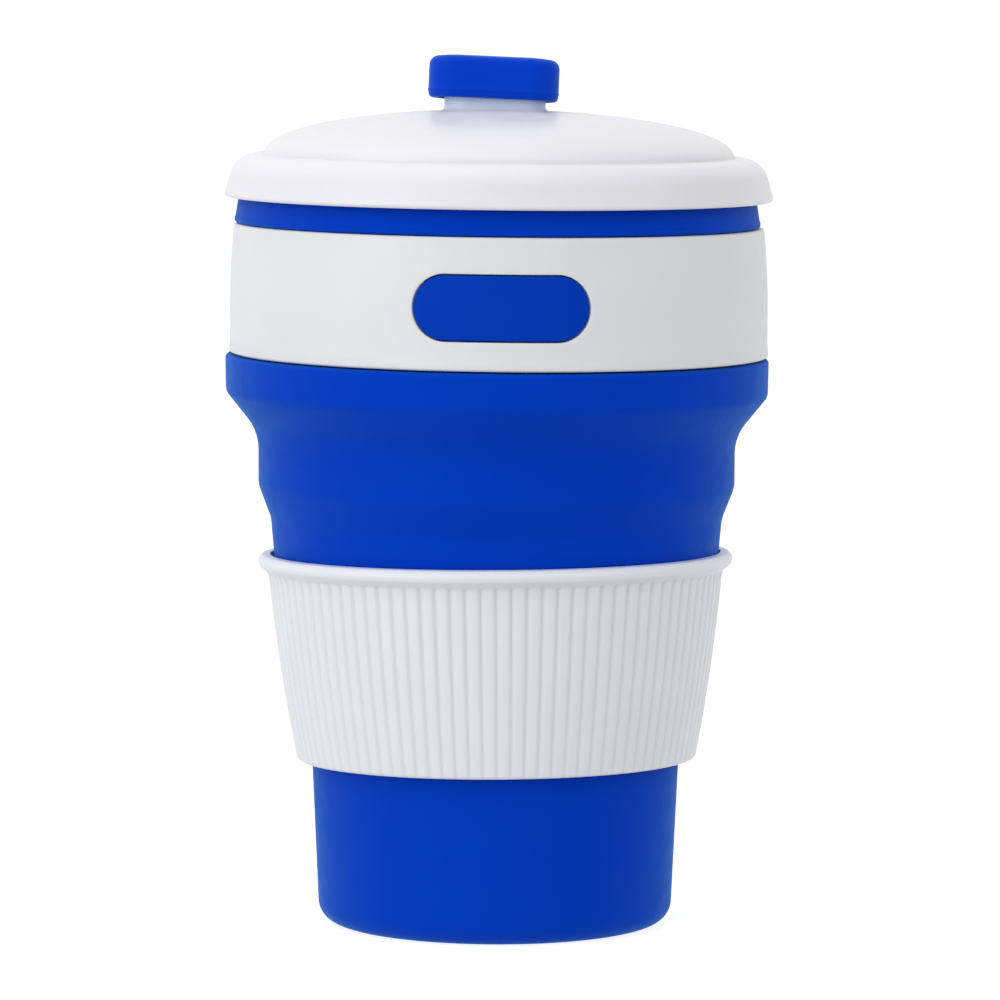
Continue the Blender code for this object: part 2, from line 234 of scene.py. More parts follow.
class Shader:
    """A Principled material with a few helpers for its procedural detail."""

    def __init__(self, name, colour, roughness):
        self.material = bpy.data.materials.new(name)
        self.material.use_nodes = True
        self.nodes = self.material.node_tree.nodes
        self.links = self.material.node_tree.links
        self.bsdf = self.nodes["Principled BSDF"]
        self.colour = colour
        self.bsdf.inputs["Base Color"].default_value = (*colour, 1)
        self.bsdf.inputs["Roughness"].default_value = roughness
        self.place = self.nodes.new("ShaderNodeTexCoord").outputs["Object"]

    def set(self, **values):
        """Uniform values, each on the shader's own socket."""
        for name, value in values.items():
            self.bsdf.inputs[name.replace("_", " ")].default_value = value

    def noise(self, size_mm, detail, stretch=(1, 1, 1)):
        """Noise whose features are about size_mm across."""
        mapping = self.nodes.new("ShaderNodeMapping")
        mapping.inputs["Scale"].default_value = [s / (size_mm * MM) for s in stretch]
        self.links.new(self.place, mapping.inputs["Vector"])
        noise = self.nodes.new("ShaderNodeTexNoise")
        noise.inputs["Scale"].default_value = 1.0
        noise.inputs["Detail"].default_value = detail
        self.links.new(mapping.outputs["Vector"], noise.inputs["Vector"])
        return noise.outputs["Fac"]

    def remap(self, value, low, high, out_low, out_high):
        """A value moved from one range to another, clamped."""
        remap = self.nodes.new("ShaderNodeMapRange")
        limits = {"From Min": low, "From Max": high, "To Min": out_low, "To Max": out_high}
        for socket, number in limits.items():
            remap.inputs[socket].default_value = number
        self.links.new(value, remap.inputs["Value"])
        return remap.outputs["Result"]

    def tint(self, share, colour):
        """Mix another colour into what the base colour holds so far."""
        mix = self.nodes.new("ShaderNodeMix")
        mix.data_type = "RGBA"
        base = self.bsdf.inputs["Base Color"]
        if base.is_linked:
            self.links.new(base.links[0].from_socket, mix.inputs["A"])
        else:
            mix.inputs["A"].default_value = (*self.colour, 1)
        mix.inputs["B"].default_value = (*colour, 1)
        self.links.new(share, mix.inputs["Factor"])
        self.links.new(mix.outputs["Result"], base)

    def roughness(self, value, low, high):
        """Let a noise move the roughness between two values."""
        remapped = self.remap(value, NOISE_LOW, NOISE_HIGH, low, high)
        self.links.new(remapped, self.bsdf.inputs["Roughness"])

    def bump(self, value, depth_mm, strength):
        """Add a height to the surface, on top of any bump before it."""
        bump = self.nodes.new("ShaderNodeBump")
        bump.inputs["Distance"].default_value = depth_mm * MM
        bump.inputs["Strength"].default_value = strength
        self.links.new(value, bump.inputs["Height"])
        normal = self.bsdf.inputs["Normal"]
        if normal.is_linked:
            self.links.new(normal.links[0].from_socket, bump.inputs["Normal"])
        self.links.new(bump.outputs["Normal"], normal)


def silicone(name, colour, pale, gloss=0.055):
    """Matte moulded silicone: slight mottling, lint specks and a fine moulded skin."""
    shader = Shader(name, colour, roughness=0.5)
    shader.set(IOR=1.41, Specular_IOR_Level=gloss, Specular_Tint=(*SILICONE_HIGHLIGHT, 1))
    shader.set(Sheen_Weight=0.18, Sheen_Roughness=0.42, Sheen_Tint=(*SILICONE_SHEEN, 1))
    mottle = shader.noise(size_mm=9.0, detail=3.0)
    shader.tint(shader.remap(mottle, *MOTTLE_RANGE, 0.0, MOTTLE_SHARE), pale)
    lint = shader.noise(size_mm=0.45, detail=1.0)
    shader.tint(shader.remap(lint, *LINT_RANGE, 0.0, LINT_SHARE), pale)
    shader.roughness(shader.noise(size_mm=3.0, detail=3.0), low=0.52, high=0.64)
    shader.bump(shader.noise(size_mm=0.35, detail=2.0), depth_mm=0.012, strength=0.5)
    shader.bump(shader.noise(size_mm=6.0, detail=1.0), depth_mm=0.05, strength=0.25)
    return shader


def moulded_plastic(name, colour, shade, roughness):
    """Satin polypropylene: faint flow marks, a little depth and an even fine skin."""
    shader = Shader(name, colour, roughness)
    shader.set(IOR=1.49, Specular_IOR_Level=0.4)
    shader.set(Subsurface_Weight=0.12, Subsurface_Scale=0.0025)
    shader.set(Subsurface_Radius=(1.0, 0.95, 0.9))
    flow = shader.noise(size_mm=14.0, detail=3.0, stretch=(1, 1, 2.5))
    shader.tint(shader.remap(flow, *MOTTLE_RANGE, 0.0, FLOW_SHARE), shade)
    wear = shader.noise(size_mm=2.0, detail=3.0)
    shader.roughness(wear, low=roughness - 0.05, high=roughness + 0.06)
    shader.bump(shader.noise(size_mm=0.5, detail=2.0), depth_mm=0.006, strength=0.4)
    shader.bump(shader.noise(size_mm=11.0, detail=1.0), depth_mm=0.05, strength=0.2)
    return shader


def ribbed_plastic():
    """The sleeve's plastic, greyed by painted shade towards the bottom of each groove."""
    shader = moulded_plastic("sleeve_plastic", SLEEVE_COLOUR, SLEEVE_SHADE, roughness=0.42)
    groove_shade_attribute = shader.nodes.new("ShaderNodeAttribute")
    groove_shade_attribute.attribute_name = GROOVE_SHADE
    # painted shade: the sleeve greyed by how deep each point lies in a groove
    share = shader.remap(groove_shade_attribute.outputs["Fac"], 0.0, 1.0, 0.0, GROOVE_SHADE_SHARE)
    shader.tint(share, SLEEVE_GROOVE_SHADE_COLOUR)
    return shader


def lid_plastic():
    """The lid's plastic, bluish at the spout, where the stopper's plug shows through."""
    shader = moulded_plastic("lid_plastic", LID_COLOUR, LID_SHADE, roughness=0.36)
    shader.set(Subsurface_Weight=0.3, Subsurface_Scale=0.004)
    axes = shader.nodes.new("ShaderNodeSeparateXYZ")
    shader.links.new(shader.place, axes.inputs["Vector"])
    fade_start, fade_end = (SPOUT_TOP - 2.6) * MM, (SPOUT_TOP - 1.9) * MM
    shader.tint(shader.remap(axes.outputs["Z"], fade_start, fade_end, 0.0, 1.0), SPOUT_BLUISH)
    return shader


BODY_SILICONE = silicone("blue_silicone", BODY_COLOUR, BODY_PALE)
BADGE_SILICONE = silicone("badge_silicone", BADGE_COLOUR, BADGE_PALE, gloss=0.08)
STOPPER_SILICONE = silicone("stopper_silicone", STOPPER_COLOUR, STOPPER_PALE, gloss=0.13)
SEAL_SILICONE = silicone("seal_silicone", SEAL_COLOUR, SEAL_PALE)
LID_PLASTIC = lid_plastic()
COLLAR_PLASTIC = moulded_plastic("collar_plastic", COLLAR_COLOUR, COLLAR_SHADE, roughness=0.42)
SLEEVE_PLASTIC = ribbed_plastic()


def dress(obj, shader):
    """Give a piece its material."""
    obj.data.materials.append(shader.material)


# ---------------------------------------------------------------- silicone body

SILICONE_INSIDE_SLEEVE = 2.2   # from the sleeve's cone to the silicone behind it
CONE_TOP = SLEEVE_TOP - 4.3    # where the sleeve's cone ends and its rim begins
CONE_BOTTOM_RADIUS = SLEEVE_RADIUS - 6.15
CONE_TOP_RADIUS = SLEEVE_RADIUS - 1.75
CONE_BULGE = 0.37              # how far the cone's side swells out halfway up
BASE_WALL = 2.0
BASE_FILLET = 3.4              # the rounding at the foot of the base
FOOT_RING_RADIUS = BASE_RADIUS - 8.0
COLLAR_SEAM = 0.15             # between the collar's top edge and the silicone above it
SHOULDER_GAP = 0.32            # between the collar's bottom edge and the shoulder below it
TOP_TIER_SLANT = 0.0073        # the top tier stands lower on the right by this share of x


def cone_radius(height):
    """Outer radius of the sleeve's cone at a height."""
    share = (height - SLEEVE_BOTTOM) / (CONE_TOP - SLEEVE_BOTTOM)
    straight = CONE_BOTTOM_RADIUS + share * (CONE_TOP_RADIUS - CONE_BOTTOM_RADIUS)
    return straight + CONE_BULGE * 4 * share * (1 - share)


def wall_radius(height):
    """Outer radius of the silicone behind the sleeve's cone."""
    return cone_radius(height) - SILICONE_INSIDE_SLEEVE


def base_tier():
    """Base and lower folding wall, one skin turned up from the base's foot to the middle wall."""
    outline = rounded([
        (0, BASE_BOTTOM + 0.7, 0),
        (FOOT_RING_RADIUS - 0.8, BASE_BOTTOM + 0.7, 0.5),
        (FOOT_RING_RADIUS, BASE_BOTTOM, 0.5),
        (BASE_RADIUS - 1.3, BASE_BOTTOM, BASE_FILLET),
        (BASE_RADIUS - 0.12, SLEEVE_BOTTOM, 30.0),
        (BASE_RADIUS + 0.1, BASE_TOP, 4.0),
        (wall_radius(MID_BOTTOM), MID_BOTTOM, 0),
        (wall_radius(MID_BOTTOM) - BASE_WALL + 0.2, MID_BOTTOM, 0),
        (BASE_RADIUS - BASE_WALL + 0.1, BASE_TOP, 4.0),
        (BASE_RADIUS - BASE_WALL - 1.2, BASE_BOTTOM + 2.4, 2.6),
        (0, BASE_BOTTOM + 2.4, 0),
    ], closed=False)
    obj = turned("silicone_base_tier", dense(outline, 0.7, closed=False), closed=False)
    dress(obj, BODY_SILICONE)
    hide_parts("base_cup", "lower_fold_wall")
    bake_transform(obj)


def lean(point):
    """Slant a point of the top tier; the bellows below it take the slant up gradually."""
    share = smooth_share((point.z - FOLD_BOTTOM) / (FOLD_TOP - FOLD_BOTTOM))
    return Vector((point.x, point.y, point.z - TOP_TIER_SLANT * point.x * share))


def upper_outer_outline():
    """Outside of the upper silicone: behind the sleeve, bellows, shoulder, band and lip."""
    straight = FOLD_RADIUS - 4.75          # the bellows' upright band
    ledge = straight - 2.1                 # just above the sleeve's rim
    behind_collar = COLLAR_RADIUS - 1.8
    band_bottom = COLLAR_TOP + COLLAR_SEAM
    return [
        (wall_radius(MID_BOTTOM), MID_BOTTOM, 0),
        (wall_radius(CONE_TOP), CONE_TOP, 4.0),
        (MID_RADIUS - 0.15, MID_TOP - 1.6, 3.0),
        (ledge + 0.1, FOLD_BOTTOM + 4.5, 6.0),
        (straight, FOLD_BOTTOM + 9.7, 5.0),
        (straight, FOLD_TOP - 6.5, 8.0),
        (SHOULDER_RADIUS - 0.1, FOLD_TOP - 0.05, 2.0),
        (SHOULDER_RADIUS, COLLAR_BOTTOM - SHOULDER_GAP, 0.7),
        (behind_collar, COLLAR_BOTTOM - SHOULDER_GAP, 0.3),
        (behind_collar - 0.7, band_bottom, 0.2),
        (COLLAR_RADIUS - 1.26, band_bottom, 0.4),
        (COLLAR_RADIUS - 1.24, band_bottom + 0.75, 0.3),
        (COLLAR_RADIUS - 1.38, band_bottom + 1.0, 0.3),
        (COLLAR_RADIUS - 1.86, LID_SKIRT_BOTTOM, 8.0),
        (COLLAR_RADIUS - 1.90, LIP_TOP, 0.6),
    ]


def upper_inner_outline():
    """Inside of the upper silicone, from the lip down."""
    return [
        (COLLAR_RADIUS - 4.3, LIP_TOP, 0.6),
        (COLLAR_RADIUS - 3.7, COLLAR_BOTTOM + 1.0, 3.0),
        (SHOULDER_RADIUS - 2.1, FOLD_TOP + 3.0, 3.0),
        (SHOULDER_RADIUS - 2.3, FOLD_TOP + 0.6, 2.5),
        (FOLD_RADIUS - 6.35, FOLD_TOP - 6.0, 8.0),
        (FOLD_RADIUS - 6.4, FOLD_BOTTOM + 10.0, 5.0),
        (MID_RADIUS - 1.6, FOLD_BOTTOM + 5.0, 6.0),
        (MID_RADIUS - 1.9, MID_TOP - 1.6, 3.0),
        (wall_radius(CONE_TOP) - 1.8, CONE_TOP, 4.0),
        (wall_radius(MID_BOTTOM) - 1.8, MID_BOTTOM, 0),
    ]


def upper_tiers():
    """Middle wall, bellows and the top tier's silicone, one skin turned from the middle wall up to
    the lip.
    """
    outline = dense(rounded(upper_outer_outline() + upper_inner_outline()), 0.6)
    rings = [[lean(point) for point in circle(p.x, p.y)] for p in outline]
    obj = loft("silicone_upper_tiers", rings)
    dress(obj, BODY_SILICONE)
    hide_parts("mid_wall", "upper_fold_wall", "silicone_rim")
    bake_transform(obj)


# ---------------------------------------------------------------- heat sleeve

RIBS = 94
POINTS_PER_RIB = 12
RIB_DEPTH = 0.34               # depth of the grooves at the top of the cone
RIB_TAPER = 0.35               # share of the depth that is lost towards the bottom
GROOVE_WIDTH = 0.15            # half width of a groove, as a share of the rib spacing
RIB_TOP = CONE_TOP + 1.3
RIB_RUN_OUT = 0.4              # length over which the grooves rise out below the rim
RIB_SKIN = 0.9                 # the grooves fade out this far in from the outside
RIB_TURN = 0.3                 # degrees from the front centre to the nearest groove
SLEEVE_WALL = 1.8
SLEEVE_SLANT = 0.020           # the loose sleeve stands a little higher at the front
SLEEVE_LEAN = 0.0096           # and is turned a little, with its right-hand side up
SLEEVE_FOOT = SLEEVE_BOTTOM + 0.5      # short of the frame's ends, to leave room to slant
SLEEVE_CREST = SLEEVE_TOP - 0.3
CONE_ROWS = 12


def groove(angle):
    """1 in the middle of a groove and 0 on a rib's broad crest."""
    across = (angle - radians(RIB_TURN)) * RIBS / (2 * pi) + RIBS / 4
    return exp(-((across - round(across)) / GROOVE_WIDTH) ** 2)


def groove_depth(point):
    """How deep the grooves are at a point of the sleeve's outline."""
    run_out = smooth_share((RIB_TOP - point.y) / RIB_RUN_OUT)
    taper = 1 - RIB_TAPER * (RIB_TOP - point.y) / (RIB_TOP - SLEEVE_BOTTOM)
    inside = cone_radius(point.y) - point.x
    return RIB_DEPTH * taper * run_out * min(1.0, max(0.0, 1.0 - inside / RIB_SKIN))


def sleeve_outline():
    """Section of the sleeve: cone, flared rim with a rolled edge, and smooth inside."""
    rise = CONE_TOP - SLEEVE_FOOT
    heights = [SLEEVE_FOOT + rise * row / CONE_ROWS for row in range(CONE_ROWS + 1)]
    outside = [(cone_radius(z), z, 0) for z in heights[1:]]
    inside = [(cone_radius(z) - SLEEVE_WALL, z, 0) for z in reversed(heights[1:-1])]
    inner_rim = MID_RADIUS + 0.3
    rim = [
        (CONE_TOP_RADIUS + 0.25, CONE_TOP + 1.1, 1.0),
        (SLEEVE_RADIUS - 0.25, CONE_TOP + 2.1, 1.0),
        (SLEEVE_RADIUS + 0.1, SLEEVE_CREST - 0.9, 0.9),
        (SLEEVE_RADIUS - 0.65, SLEEVE_CREST - 0.1, 0.6),
        (inner_rim, SLEEVE_CREST, 0.2),
        (inner_rim - 0.1, SLEEVE_CREST - 1.4, 2.0),
        (CONE_TOP_RADIUS - SLEEVE_WALL, CONE_TOP, 3.0),
    ]
    foot_radius = cone_radius(SLEEVE_FOOT)
    foot = [(foot_radius - SLEEVE_WALL, SLEEVE_FOOT, 0.3), (foot_radius - 0.02, SLEEVE_FOOT, 0.75)]
    return rounded(foot + outside + rim + inside)


def on_sleeve(radius, angle, height):
    """A point of the sleeve, with its slant and its lean."""
    x, y = radius * cos(angle), radius * sin(angle)
    middle = (SLEEVE_BOTTOM + SLEEVE_TOP) / 2
    leaned_x = x - SLEEVE_LEAN * (height - middle)
    return Vector((leaned_x, y, height + SLEEVE_LEAN * x - SLEEVE_SLANT * y))


def ribbed_sleeve():
    """The ribbed heat sleeve."""
    angles = angles_round(RIBS * POINTS_PER_RIB)
    rings = []
    shades = []
    for point in dense(sleeve_outline(), 1.3):
        depth = groove_depth(point)
        # painted shade: how deep each point lies in a groove, kept for the sleeve's material
        shades += [groove(a) * depth / RIB_DEPTH for a in angles]
        rings.append([on_sleeve(point.x - depth * groove(a), a, point.y) for a in angles])
    obj = loft("ribbed_sleeve", rings)
    shade = obj.data.attributes.new(GROOVE_SHADE, "FLOAT", "POINT")
    shade.data.foreach_set("value", shades)
    dress(obj, SLEEVE_PLASTIC)
    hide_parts("grip_sleeve")
    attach(obj, "mid")


# ---------------------------------------------------------------- collar and badge

COLLAR_ROWS = 12
EDGE_ROWS = 3                  # rows round the collar's outer edges and the badge's
INSIDE_START = COLLAR_ROWS + EDGE_ROWS + 2     # the first row of the collar's inside
COLLAR_EDGE = 0.45             # rounding of the collar's outer edges
COLLAR_WALL = 1.4
COLLAR_INSET = 0.24            # from the CAD node's outside to the collar's upright part
COLLAR_FLARE = 0.22            # how far the collar widens again at its bottom edge
FLARE_SHARE = 0.12             # share of the height that the flare takes up
COLLAR_TAPER = 0.66            # how far the collar is drawn in at its top edge
TAPER_START = 0.45             # share of the height where that begins
PATCH_COLUMNS = 36             # columns of the collar that the window's patch replaces
COLLAR_SHIFT = 0.25            # the collar sits a little to the right on the silicone
WINDOW_GAP = 0.22
WINDOW_EDGE = 0.2              # rounding of the window's edge
WINDOW_SHARES = (0.80, 0.55, 0.30, 0.10)       # rings between the patch and its window
BADGE_EDGE = 0.28              # rounding of the badge's edge
BADGE_STRETCH = 0.15           # how much further the pad reaches at each end than its node
BADGE_HALF_LENGTH = (BADGE_HIGH.x - BADGE_LOW.x) / 2 / MM + BADGE_STRETCH
BADGE_HALF_HEIGHT = (BADGE_HIGH.z - BADGE_LOW.z) / 2 / MM
BADGE_X = (BADGE_HIGH.x + BADGE_LOW.x) / 2 / MM
BADGE_Z = (BADGE_HIGH.z + BADGE_LOW.z) / 2 / MM


def collar_radius(height):
    """Outer radius of the collar: nearly upright, and drawn in towards its top."""
    share = (height - COLLAR_BOTTOM) / (COLLAR_TOP - COLLAR_BOTTOM)
    flare = COLLAR_FLARE * max(0.0, 1 - share / FLARE_SHARE) ** 2
    taper = COLLAR_TAPER * max(0.0, (share - TAPER_START) / (1 - TAPER_START)) ** 1.6
    return COLLAR_RADIUS - COLLAR_INSET + flare - taper


def shifted(x, y, height):
    """A point of the collar or badge, with the top tier's slant and the collar's own play."""
    return lean(Vector((x, y, height))) + Vector((COLLAR_SHIFT, 0, 0))


def on_collar(across, height, sink):
    """A point on the collar's outside, across millimetres along its front, sunk inwards."""
    radius = collar_radius(height)
    angle = across / radius - pi / 2
    return shifted((radius - sink) * cos(angle), (radius - sink) * sin(angle), height)


def collar_rows():
    """Section of the collar as rows: outside upwards, top edge, inside down, bottom edge."""
    low, high = COLLAR_BOTTOM + COLLAR_EDGE, COLLAR_TOP - COLLAR_EDGE
    heights = [low + (high - low) * row / COLLAR_ROWS for row in range(COLLAR_ROWS + 1)]
    outside = [(collar_radius(z), z) for z in heights]
    inside = [(collar_radius(z) - COLLAR_WALL, z) for z in reversed(heights)]
    top_edge = []
    bottom_edge = []
    for step in range(1, EDGE_ROWS + 1):
        angle = pi / 2 * step / EDGE_ROWS
        out, up = COLLAR_EDGE * (1 - cos(angle)), COLLAR_EDGE * sin(angle)
        top_edge.append((collar_radius(high) - out, high + up))
        bottom_edge.append((collar_radius(low) - out, low - up))
    top_edge.append((collar_radius(high) - COLLAR_WALL, COLLAR_TOP))
    bottom_edge.append((collar_radius(low) - COLLAR_WALL, COLLAR_BOTTOM))
    return outside + top_edge + inside + list(reversed(bottom_edge))


def patch_border(grid, low_row, high_row, columns):
    """Vertices round a rectangle of the grid, anticlockwise as the front is seen."""
    bottom = [grid[low_row][c] for c in columns]
    step = 1 if high_row > low_row else -1
    right = [grid[r][columns[-1]] for r in range(low_row + step, high_row, step)]
    top = [grid[high_row][c] for c in reversed(columns)]
    left = [grid[r][columns[0]] for r in range(high_row - step, low_row, -step)]
    return bottom + right + top + left


def flattened(border):
    """The border's places on the unrolled collar, measured from the badge's centre."""
    places = []
    for vertex in border:
        x, y, z = vertex.co - Vector((COLLAR_SHIFT, 0, 0))
        upright = z + TOP_TIER_SLANT * x
        across = Vector((x, y)).angle_signed(Vector((0, -1))) * collar_radius(upright)
        places.append(Vector((across - BADGE_X, upright - BADGE_Z)))
    return places


def window_rings(mesh, border):
    """Rings from the patch's outer border in to the window, through it, and out behind."""
    half_x, half_y = BADGE_HALF_LENGTH + WINDOW_GAP, BADGE_HALF_HEIGHT + WINDOW_GAP
    edge = WINDOW_EDGE
    sections = [(share, 0.0, 0.0) for share in WINDOW_SHARES]
    sections += [(0.0, edge, 0.0), (0.0, edge * 0.3, edge * 0.3)]
    sections += [(0.0, 0.0, edge), (0.0, 0.0, COLLAR_WALL)]
    sections += [(share, 0.0, COLLAR_WALL) for share in reversed(WINDOW_SHARES)]
    places = flattened(border)
    rings = []
    for share, grow, sink in sections:
        ring = []
        for place in places:
            angle = Vector((1, 0)).angle_signed(place)
            window = pill_radius(angle, half_x + grow, half_y + grow)
            spot = place.normalized() * (window + (place.length - window) * share)
            ring.append(mesh.verts.new(on_collar(spot.x + BADGE_X, spot.y + BADGE_Z, sink)))
        rings.append(ring)
    return rings


def skin_grid(mesh, grid, open_rows, open_columns):
    """Faces between the rows and columns of the collar, all but the window's patch."""
    for row, lower in enumerate(grid):
        upper = grid[(row + 1) % len(grid)]
        for column in range(STEPS):
            if row in open_rows and column in open_columns:
                continue
            after = (column + 1) % STEPS
            mesh.faces.new([lower[column], lower[after], upper[after], upper[column]])


def collar():
    """The rigid collar, with a patch of clean quads round its badge window."""
    mesh = bmesh.new()
    turns = [angle - pi / 2 for angle in ANGLES]
    grid = []
    for radius, height in collar_rows():
        row = [shifted(radius * cos(turn), radius * sin(turn), height) for turn in turns]
        grid.append([mesh.verts.new(point) for point in row])
    half = PATCH_COLUMNS // 2
    columns = [column % STEPS for column in range(-half, half + 1)]
    inside_end = INSIDE_START + COLLAR_ROWS
    open_rows = [*range(COLLAR_ROWS), *range(INSIDE_START, inside_end)]
    skin_grid(mesh, grid, open_rows, columns[:-1])
    front = patch_border(grid, 0, COLLAR_ROWS, columns)
    back = patch_border(grid, inside_end, INSIDE_START, columns)
    rings = [front] + window_rings(mesh, front) + [back]
    for lower, upper in zip(rings, rings[1:]):
        quads_between(mesh, lower, upper)
    under_patch = [vertex for vertex in mesh.verts if not vertex.link_faces]
    for vertex in under_patch:
        mesh.verts.remove(vertex)
    obj = finish_piece("collar", mesh)
    dress(obj, COLLAR_PLASTIC)
    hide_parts("collar_band")
    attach(obj, "collar")


def badge_ring(share, sink, inset):
    """A ring of the badge: its outline inset, shrunk to a share, and sunk below the face."""
    if share == 0.0:
        return [on_collar(BADGE_X, BADGE_Z, sink)]
    ring = []
    for angle in ANGLES:
        half_x, half_y = BADGE_HALF_LENGTH - inset, BADGE_HALF_HEIGHT - inset
        reach = share * pill_radius(angle, half_x, half_y)
        ring.append(on_collar(BADGE_X + reach * cos(angle), BADGE_Z + reach * sin(angle), sink))
    return ring


def badge():
    """The badge: a long pad with round ends that lies flush in the collar's window."""
    back = COLLAR_WALL - 0.1
    sections = [(0.0, back, 0.0), (0.5, back, 0.0), (1.0, back, 0.0), (1.0, BADGE_EDGE, 0.0)]
    for step in range(1, EDGE_ROWS + 1):
        angle = pi / 2 * step / EDGE_ROWS
        sections.append((1.0, BADGE_EDGE * (1 - sin(angle)), BADGE_EDGE * (1 - cos(angle))))
    sections += [(share, 0.0, 0.0) for share in (0.85, 0.65, 0.45, 0.25, 0.1, 0.0)]
    obj = loft("badge", [badge_ring(*section) for section in sections], closed=False)
    dress(obj, BADGE_SILICONE)
    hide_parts("badge_pad")
    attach(obj, "collar")


# ---------------------------------------------------------------- lid and seal

LID_TILT = 0.4                 # degrees, the right-hand side pressed on a little further
LID_SHIFT = 0.2                # the play in the lid's fit, taken up towards the right
DOME_RADIUS = LID_RADIUS - 6.45
DOME_RISE = 7.2
DOME_POWER = 0.47              # just below a half: the dome is fuller than an ellipse
DOME_FOOT = SPOUT_TOP - 9.8
DOME_ROWS = 24
DOME_EDGE = 0.9985             # share of its radius where the dome's own rings end
LID_WALL = 1.6
CEILING_RADIUS = DOME_RADIUS - LID_WALL
CEILING_RISE = DOME_RISE - LID_WALL
CEILING_ROWS = 12
CEILING_EDGE = 0.98
PLUG_RING_RADIUS = LID_RADIUS - 6.05
PLUG_RING_WALL = 1.4
CHANNEL_RADIUS = LID_RADIUS - 1.95
CHANNEL_ROOF = GASKET_TOP + 0.3
SPOUT_X = -0.8
NECK = (8.05, 4.6, 3.6)        # half width, half depth and corner radius
BORE = (6.7, 3.1, 2.4)
NECK_FILLET = 0.75
NECK_FILLET_ROWS = 5
BLEND_RADIUS = 16.0            # where the spout's rings have become circles


def dome_height(x, y, radius, rise):
    """Height of a dome of that radius and rise above a point."""
    share = min(1.0, (x * x + y * y) / radius ** 2)
    return DOME_FOOT + rise * (1 - share) ** DOME_POWER


def spout_radius(shape, grow, angle):
    """Distance from the spout's centre to its rounded rectangle, grown outwards."""
    half_x, half_y, corner = shape
    return box_radius(angle, half_x + grow, half_y + grow, corner + grow)


def spout_ring(shape, grow, height):
    """A level ring of the spout."""
    ring = []
    for angle in ANGLES:
        reach = spout_radius(shape, grow, angle)
        ring.append(Vector((SPOUT_X + reach * cos(angle), reach * sin(angle), height)))
    return ring


def blend_ring(shape, grow, share, radius, rise, lift=0.0):
    """A ring on a dome, between the spout's rectangle (share 0) and a circle (share 1)."""
    ring = []
    for angle in ANGLES:
        start = spout_radius(shape, grow, angle)
        reach = start + (BLEND_RADIUS - start) * share
        x = SPOUT_X * (1 - share) + reach * cos(angle)
        y = reach * sin(angle)
        ring.append(Vector((x, y, dome_height(x, y, radius, rise) + lift)))
    return ring


def dome_circle(across, radius, rise):
    """A round ring on a dome, at a share of the dome's radius."""
    return circle(radius * across, dome_height(radius * across, 0, radius, rise))


def set_askew(obj):
    """Turn a piece of the lid by its slight tilt, about the middle of the cup's lip."""
    pivot = Vector((0, 0, LIP_TOP * MM))
    turn = Matrix.Rotation(radians(LID_TILT), 3, "Y")
    obj.rotation_euler = turn.to_euler()
    obj.location = pivot - turn @ pivot + Vector((LID_SHIFT * MM, 0, 0))


def neck_rings():
    """The spout, from its bore up over its mouth and down to the dome."""
    sections = [
        (BORE, 0.0, DOME_FOOT + DOME_RISE - 0.6),
        (BORE, 0.0, SPOUT_TOP - 0.3),
        (BORE, 0.1, SPOUT_TOP - 0.1),
        (BORE, 0.35, SPOUT_TOP),
        (NECK, -0.45, SPOUT_TOP),
        (NECK, -0.15, SPOUT_TOP - 0.1),
        (NECK, 0.0, SPOUT_TOP - 0.4),
    ]
    rings = [spout_ring(*section) for section in sections]
    for step in range(NECK_FILLET_ROWS + 1):
        angle = pi / 2 * step / NECK_FILLET_ROWS
        grow, lift = NECK_FILLET * (1 - cos(angle)), NECK_FILLET * (1 - sin(angle))
        rings.append(blend_ring(NECK, grow, 0.0, DOME_RADIUS, DOME_RISE, lift))
    return rings


def dome_rings():
    """The dome, from the foot of the spout out to just inside the dome's own foot."""
    rings = []
    for share in (0.12, 0.3, 0.5, 0.75):
        rings.append(blend_ring(NECK, NECK_FILLET, share, DOME_RADIUS, DOME_RISE))
    first = BLEND_RADIUS / DOME_RADIUS
    for step in range(DOME_ROWS + 1):
        across = first + (DOME_EDGE - first) * sin(pi / 2 * step / DOME_ROWS)
        rings.append(dome_circle(across, DOME_RADIUS, DOME_RISE))
    return rings


def rim_rings():
    """The crease at the dome's foot, the rim, the skirt, the channel and the plug ring."""
    outline = rounded([
        (DOME_RADIUS, DOME_FOOT + 0.3, 0),
        (DOME_RADIUS + 0.05, DOME_FOOT - 0.1, 0.35),
        (LID_RADIUS - 2.05, DOME_FOOT + 0.1, 4.1),
        (LID_RADIUS, LID_SKIRT_BOTTOM + 0.05, 0.55),
        (CHANNEL_RADIUS, LID_SKIRT_BOTTOM, 0.2),
        (CHANNEL_RADIUS, CHANNEL_ROOF, 0.4),
        (PLUG_RING_RADIUS, CHANNEL_ROOF, 0.4),
        (PLUG_RING_RADIUS, LID_FLOOR, 0.5),
        (PLUG_RING_RADIUS - PLUG_RING_WALL, LID_FLOOR, 0.5),
        (PLUG_RING_RADIUS - PLUG_RING_WALL, DOME_FOOT - 1.0, 1.0),
        (CEILING_RADIUS * 0.995, DOME_FOOT + 0.5, 0),
    ], closed=False)
    return [circle(p.x, p.y) for p in dense(outline, 1.2, closed=False)]


def ceiling_rings():
    """The underside of the dome, from its edge in to the spout's bore."""
    rings = []
    last = BLEND_RADIUS / CEILING_RADIUS
    for step in range(CEILING_ROWS + 1):
        inwards = cos(pi / 2 * step / CEILING_ROWS)
        across = CEILING_EDGE * inwards + last * (1 - inwards)
        rings.append(dome_circle(across, CEILING_RADIUS, CEILING_RISE))
    for share in (0.6, 0.25, 0.0):
        rings.append(blend_ring(BORE, 0.3, share, CEILING_RADIUS, CEILING_RISE))
    return rings


def lid():
    """The lid: spout, dome, rim, skirt, channel and plug ring in one skin."""
    obj = loft("domed_lid", neck_rings() + dome_rings() + rim_rings() + ceiling_rings())
    set_askew(obj)
    dress(obj, LID_PLASTIC)
    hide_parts("lid_shell")
    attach(obj, "lid")


